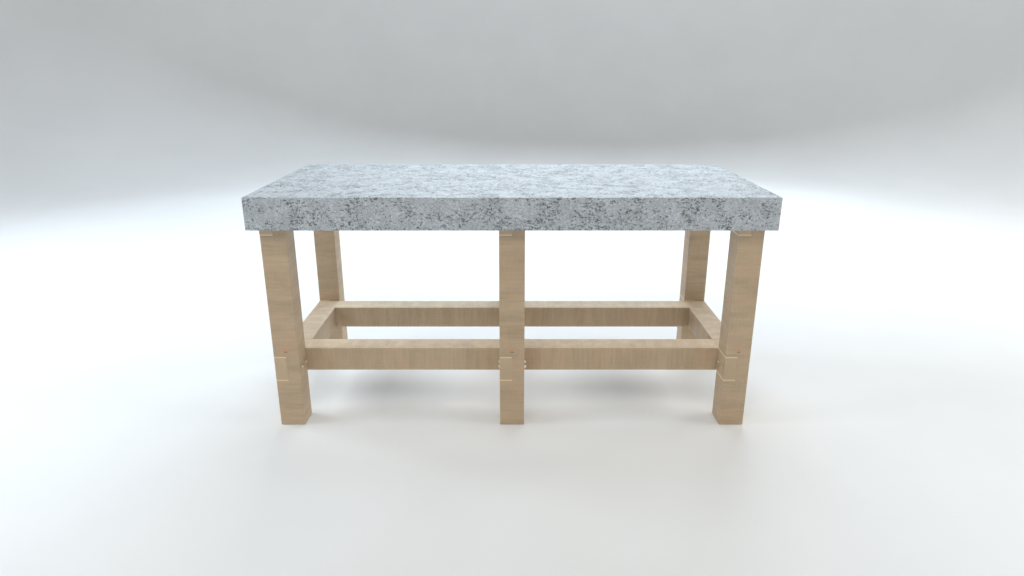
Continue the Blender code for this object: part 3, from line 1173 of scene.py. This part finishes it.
@dataclass
class StripSet:
    """Thin strips of one kind, all cut alike and set out at their joints."""

    name: str
    nodes: list[str]
    finish: bpy.types.Material
    seed: int
    slot: str = "packing_timber"
    slide: float = 0.12 * MM
    arris: float = 0.45 * MM
    divisions: tuple[int, int] = (14, 26)
    end_grain_share: float = 0.35

    def pattern(self) -> bpy.types.Object:
        """Makes one strip, centred on the origin and finely divided.

        Returns:
            The strip.
        """
        half = box_size(self.nodes[0]) / 2
        bm = bmesh.new()
        bmesh.ops.create_cube(bm, size=2.0)
        bmesh.ops.scale(bm, vec=half, verts=bm.verts)
        bmesh.ops.bevel(
            bm, geom=bm.edges[:], offset=self.arris, segments=2, affect="EDGES", clamp_overlap=True
        )
        for axis, count in enumerate(self.divisions):
            across = Vector([float(axis == number) for number in range(3)])
            for part in range(1, count):
                place = across * (half[axis] * (2 * part / count - 1))
                everything = [*bm.verts, *bm.edges, *bm.faces]
                bmesh.ops.bisect_plane(bm, geom=everything, plane_co=place, plane_no=across)
        mark_arrises(bm)
        position = bm.verts.layers.float_vector.new("board_position")
        end_grain = bm.faces.layers.float.new("end_grain")
        for vertex in bm.verts:
            vertex[position] = Vector((vertex.co.x, vertex.co.z, vertex.co.y))
        for face in bm.faces:
            face[end_grain] = self.end_grain_share if abs(face.normal.y) > 0.8 else 0.0
        name = self.name + "_pattern"
        return link_object(name, finished_mesh(bm, name))

    def build(self) -> None:
        """Makes the strips and hangs them on the frame."""
        pattern = self.pattern()
        settings = {"Turn": 0.0, "Slide": self.slide, "Seed": self.seed, "Finish": self.finish}
        set_out(self.name, self.nodes, pattern, settings)


Outline = Callable[[float], float]


def round_outline(radius: float) -> Outline:
    """Returns a circle's radius at each angle."""
    return lambda angle: radius


def hexagon_outline(apothem: float, most: float = math.inf) -> Outline:
    """Makes a hexagon's outline, cut off past a circle.

    Args:
        apothem: Half of the width over its flats.
        most: The circle's radius.

    Returns:
        The radius at each angle.
    """
    sixth = math.pi / 3

    def radius(angle: float) -> float:
        """Returns the radius at one angle."""
        return min(apothem / math.cos((angle % sixth) - sixth / 2), most)

    return radius


def lofted_about_x(
    name: str, rings: Sequence[tuple[float, Outline]], sides: int, closed_ends: bool
) -> bpy.types.Mesh:
    """Makes a mesh from rings about X.

    Args:
        name: The mesh's name.
        rings: The X place and outline of each ring. Counted from -X, the skin faces out.
        sides: The number of points in a ring.
        closed_ends: Whether a face closes each end; otherwise the last ring joins the first.

    Returns:
        The mesh, with its arrises marked.
    """
    bm = bmesh.new()
    angles = [2 * math.pi * number / sides for number in range(sides)]
    made = []
    for x, outline in rings:
        made.append([bm.verts.new((x, outline(a) * math.cos(a), outline(a) * math.sin(a))) for a in angles])
    pairs = list(zip(made, made[1:]))
    if closed_ends:
        bm.faces.new(list(reversed(made[0])))
        bm.faces.new(made[-1])
    else:
        pairs.append((made[-1], made[0]))
    for ring, following in pairs:
        for number in range(sides):
            after = (number + 1) % sides
            bm.faces.new((ring[number], ring[after], following[after], following[number]))
    bmesh.ops.recalc_face_normals(bm, faces=bm.faces)
    mark_arrises(bm, 35.0)
    return finished_mesh(bm, name)


@dataclass
class FastenerSet:
    """The socket-head bolts across the posts and the thin hexagon nuts on their ends."""

    finish: bpy.types.Material
    pitch: float = 1.0 * MM
    thread_depth: float = 0.42 * MM
    head_height: float = 6.0 * MM
    socket_width: float = 5.0 * MM
    socket_depth: float = 3.0 * MM
    sides: int = 72
    bolt_nodes: list[str] = field(default_factory=lambda: joint_nodes("outer_bolt", "inner_bolt"))
    nut_nodes: list[str] = field(default_factory=lambda: joint_nodes("outer_nut", "inner_nut"))

    def thread_outline(self, x: float, radius: float, depth: float) -> Outline:
        """Returns the outline of a screw thread at one place along it.

        Args:
            x: The place.
            radius: The radius over the thread's crests.
            depth: The depth of its roots.

        Returns:
            The radius at each angle.
        """

        def outline(angle: float) -> float:
            """Returns the radius at one angle."""
            turn = (x / self.pitch - angle / (2 * math.pi)) % 1.0
            return radius - depth * abs(2 * turn - 1)

        return outline

    def knurl_outline(self, radius: float, depth: float) -> Outline:
        """Returns a knurled circle's radius at each angle."""
        ridges = self.sides // 2
        return lambda angle: radius - depth * (1 - math.cos(ridges * angle)) / 2

    def bolt_pattern(self) -> bpy.types.Object:
        """Makes one bolt about X, its middle at the origin.

        Returns:
            The bolt.
        """
        size = box_size(self.bolt_nodes[0])
        tip = -size.x / 2
        top = size.x / 2
        seat = top - self.head_height
        head = size.y / 2
        shank = 3.0 * MM
        threaded = 8 * self.pitch
        steps = int(threaded / (self.pitch / 5))
        rings = [(tip, round_outline(shank - 0.9 * MM)), (tip + 0.15 * MM, round_outline(shank - 0.62 * MM))]
        for number in range(1, steps):
            x = tip + 0.3 * MM + threaded * number / steps
            fade = min(1.0, (steps - number) / 8)
            crest = min(shank, shank - 0.55 * MM + 0.5 * (x - tip))
            rings.append((x, self.thread_outline(x, crest, self.thread_depth * fade)))
        knurl = self.knurl_outline(head, 0.16 * MM)
        socket = hexagon_outline(self.socket_width / 2)
        rings += [
            (tip + threaded + 1.0 * MM, round_outline(shank)),
            (seat - 0.4 * MM, round_outline(shank)),
            (seat, round_outline(shank + 0.3 * MM)),
            (seat, round_outline(head - 0.35 * MM)),
            (seat + 0.3 * MM, round_outline(head - 0.16 * MM)),
            (seat + 0.5 * MM, knurl),
            (top - 1.5 * MM, knurl),
            (top - 1.3 * MM, round_outline(head - 0.16 * MM)),
            (top - 0.7 * MM, round_outline(head - 0.22 * MM)),
            (top - 0.2 * MM, round_outline(head - 0.52 * MM)),
            (top, round_outline(head - 0.95 * MM)),
            (top, round_outline(self.socket_width / 2 + 0.75 * MM)),
            (top - 0.35 * MM, hexagon_outline(self.socket_width / 2 + 0.12 * MM)),
            (top - 0.6 * MM, socket),
            (top - self.socket_depth, socket),
            (top - self.socket_depth - 0.5 * MM, round_outline(0.7 * MM)),
        ]
        return link_object("bolt_pattern", lofted_about_x("bolt_pattern", rings, self.sides, True))

    def nut_pattern(self) -> bpy.types.Object:
        """Makes one thin hexagon nut about X, its middle at the origin, chamfered on both faces.

        Returns:
            The nut.
        """
        size = box_size(self.nut_nodes[0])
        half = size.x / 2
        flats = size.z / 2
        bore = 3.32 * MM
        outside = []
        for share in (0.0, 0.25, 0.5, 0.75, 1.0):
            corner = flats * (0.94 + 0.22 * share)
            outside.append((half - 0.9 * MM * share, hexagon_outline(flats, corner)))
        left = [(-x, outline) for x, outline in outside]
        rings = left + list(reversed(outside))
        rings += [(half, round_outline(bore + 0.35 * MM)), (half - 0.35 * MM, round_outline(bore))]
        rings += [(-half + 0.35 * MM, round_outline(bore)), (-half, round_outline(bore + 0.35 * MM))]
        return link_object("nut_pattern", lofted_about_x("nut_pattern", rings, self.sides, False))

    def build(self) -> None:
        """Makes the bolts and nuts and hangs them on the frame."""
        sets = (
            ("socket_head_bolts", self.bolt_nodes, self.bolt_pattern(), 5),
            ("thin_hexagon_nuts", self.nut_nodes, self.nut_pattern(), 8),
        )
        for name, nodes, pattern, seed in sets:
            settings = {"Turn": math.tau, "Slide": 0.0, "Seed": seed, "Finish": self.finish}
            set_out(name, nodes, pattern, settings)


@dataclass(frozen=True)
class Softbox:
    """One soft studio lamp, aimed at the middle of the bench."""

    name: str
    bearing: float
    elevation: float
    distance: float
    size: Span
    power: float
    colour: Colour
    aim: Triple = (0.0, 0.0, 0.45)

    def build(self) -> None:
        """Adds the lamp at its bearing from the front and its height above the horizon, in degrees."""
        lamp = bpy.data.lights.new(self.name, "AREA")
        lamp.shape = "RECTANGLE"
        lamp.size, lamp.size_y = self.size
        lamp.energy = self.power
        lamp.color = self.colour
        turn, rise = math.radians(self.bearing), math.radians(self.elevation)
        away = Vector((math.sin(turn) * math.cos(rise), -math.cos(turn) * math.cos(rise), math.sin(rise)))
        holder = link_object(self.name, lamp)
        holder.location = Vector(self.aim) + self.distance * away
        holder.rotation_euler = (-away).to_track_quat("-Z", "Y").to_euler()
        holder.visible_camera = False


@dataclass
class Studio:
    """A pale round floor that curves up into a low wall, soft lamps and the camera."""

    floor_level: float = -0.4 * MM
    floor_radius: float = 5.2
    curve_radius: float = 2.4
    wall_height: float = 4.2
    floor_colour: Colour = (0.84, 0.845, 0.85)
    lens: float = 24.218
    sensor: float = 36.0
    camera_place: Triple = (0.0, -2.36525, 1.1503)
    camera_pitch: float = 18.149

    def floor_material(self) -> bpy.types.Material:
        """Builds the floor's plain pale finish, very slightly clouded.

        Returns:
            The material.
        """
        material, wiring, shader = new_material("pale_floor")
        place = wiring.node("ShaderNodeTexCoord").outputs["Object"]
        clouds = wiring.spread(wiring.noise(place, 1.4, 4.0, 0.55), 0.3, 0.7)
        light = tuple(channel * 1.03 for channel in self.floor_colour)
        wiring.feed(shader.inputs["Base Color"], wiring.mix(clouds, self.floor_colour, light))
        shader.inputs["Roughness"].default_value = 0.85
        return material

    def floor(self) -> None:
        """Turns the floor and its wall from one profile."""
        profile = [(0.0, self.floor_level), (self.floor_radius, self.floor_level)]
        for part in range(1, 13):
            angle = math.radians(90 * part / 12)
            reach = self.floor_radius + self.curve_radius * math.sin(angle)
            profile.append((reach, self.floor_level + self.curve_radius * (1 - math.cos(angle))))
        profile.append((self.floor_radius + self.curve_radius, self.wall_height))
        sides = 96
        bm = bmesh.new()
        rings = [[bm.verts.new((0.0, 0.0, self.floor_level))]]
        for reach, height in profile[1:]:
            angles = [math.tau * number / sides for number in range(sides)]
            rings.append([bm.verts.new((reach * math.cos(a), reach * math.sin(a), height)) for a in angles])
        for number in range(sides):
            after = (number + 1) % sides
            bm.faces.new((rings[0][0], rings[1][number], rings[1][after]))
            for ring, following in zip(rings[1:], rings[2:]):
                bm.faces.new((ring[number], following[number], following[after], ring[after]))
        mesh = finished_mesh(bm, "studio_floor")
        mesh.shade_smooth()
        mesh.materials.append(self.floor_material())
        link_object("studio_floor", mesh)

    def lamps(self) -> None:
        """Adds the lamps and the sky's even light."""
        lamps = (
            Softbox("front_key", -8, 52, 5.0, (4.0, 2.0), 61.0, (1.0, 0.90, 0.76)),
            Softbox("left_side", -90, 28, 5.0, (3.5, 2.0), 160.0, (0.84, 0.93, 1.0)),
            Softbox("right_side", 90, 24, 6.2, (4.4, 2.2), 172.0, (1.0, 0.97, 0.90)),
            Softbox("back_key", 172, 34, 5.0, (4.5, 3.0), 214.0, (0.78, 0.90, 1.0)),
        )
        for lamp in lamps:
            lamp.build()
        world = bpy.data.worlds.new("studio_sky")
        world.use_nodes = True
        sky = world.node_tree.nodes["Background"]
        sky.inputs["Color"].default_value = (0.95, 0.98, 1.0, 1.0)
        sky.inputs["Strength"].default_value = 0.12
        bpy.context.scene.world = world
        bpy.context.scene.view_settings.view_transform = "Standard"

    def camera(self) -> None:
        """Sets the camera at standing height in front of the bench, tilted a little down."""
        data = bpy.data.cameras.new("camera")
        data.lens = self.lens
        data.sensor_width = self.sensor
        holder = link_object("camera", data)
        holder.location = self.camera_place
        holder.rotation_euler = (math.radians(90 - self.camera_pitch), 0.0, 0.0)
        bpy.context.scene.camera = holder

    def build(self) -> None:
        """Sets up the whole studio."""
        self.floor()
        self.lamps()
        self.camera()


def main() -> None:
    """Builds the studio and every piece of the bench."""
    logging.basicConfig(level=logging.INFO, format="%(name)s: %(message)s")
    Studio().build()
    GraniteSlab().build()
    TimberFrame().build()
    maple = TimberFinish(
        "planed_maple_strips", (0.90, 0.73, 0.51), (0.85, 0.67, 0.45), blush=(0.86, 0.64, 0.42), wear=0.2
    ).build()
    StripSet("packing_strips", joint_nodes("upper_packing", "lower_packing"), maple, 3).build()
    StripSet("levelling_shims", joint_nodes("levelling_shim"), maple, 6).build()
    FastenerSet(ZincFinish().build()).build()


if __name__ == "__main__":
    main()
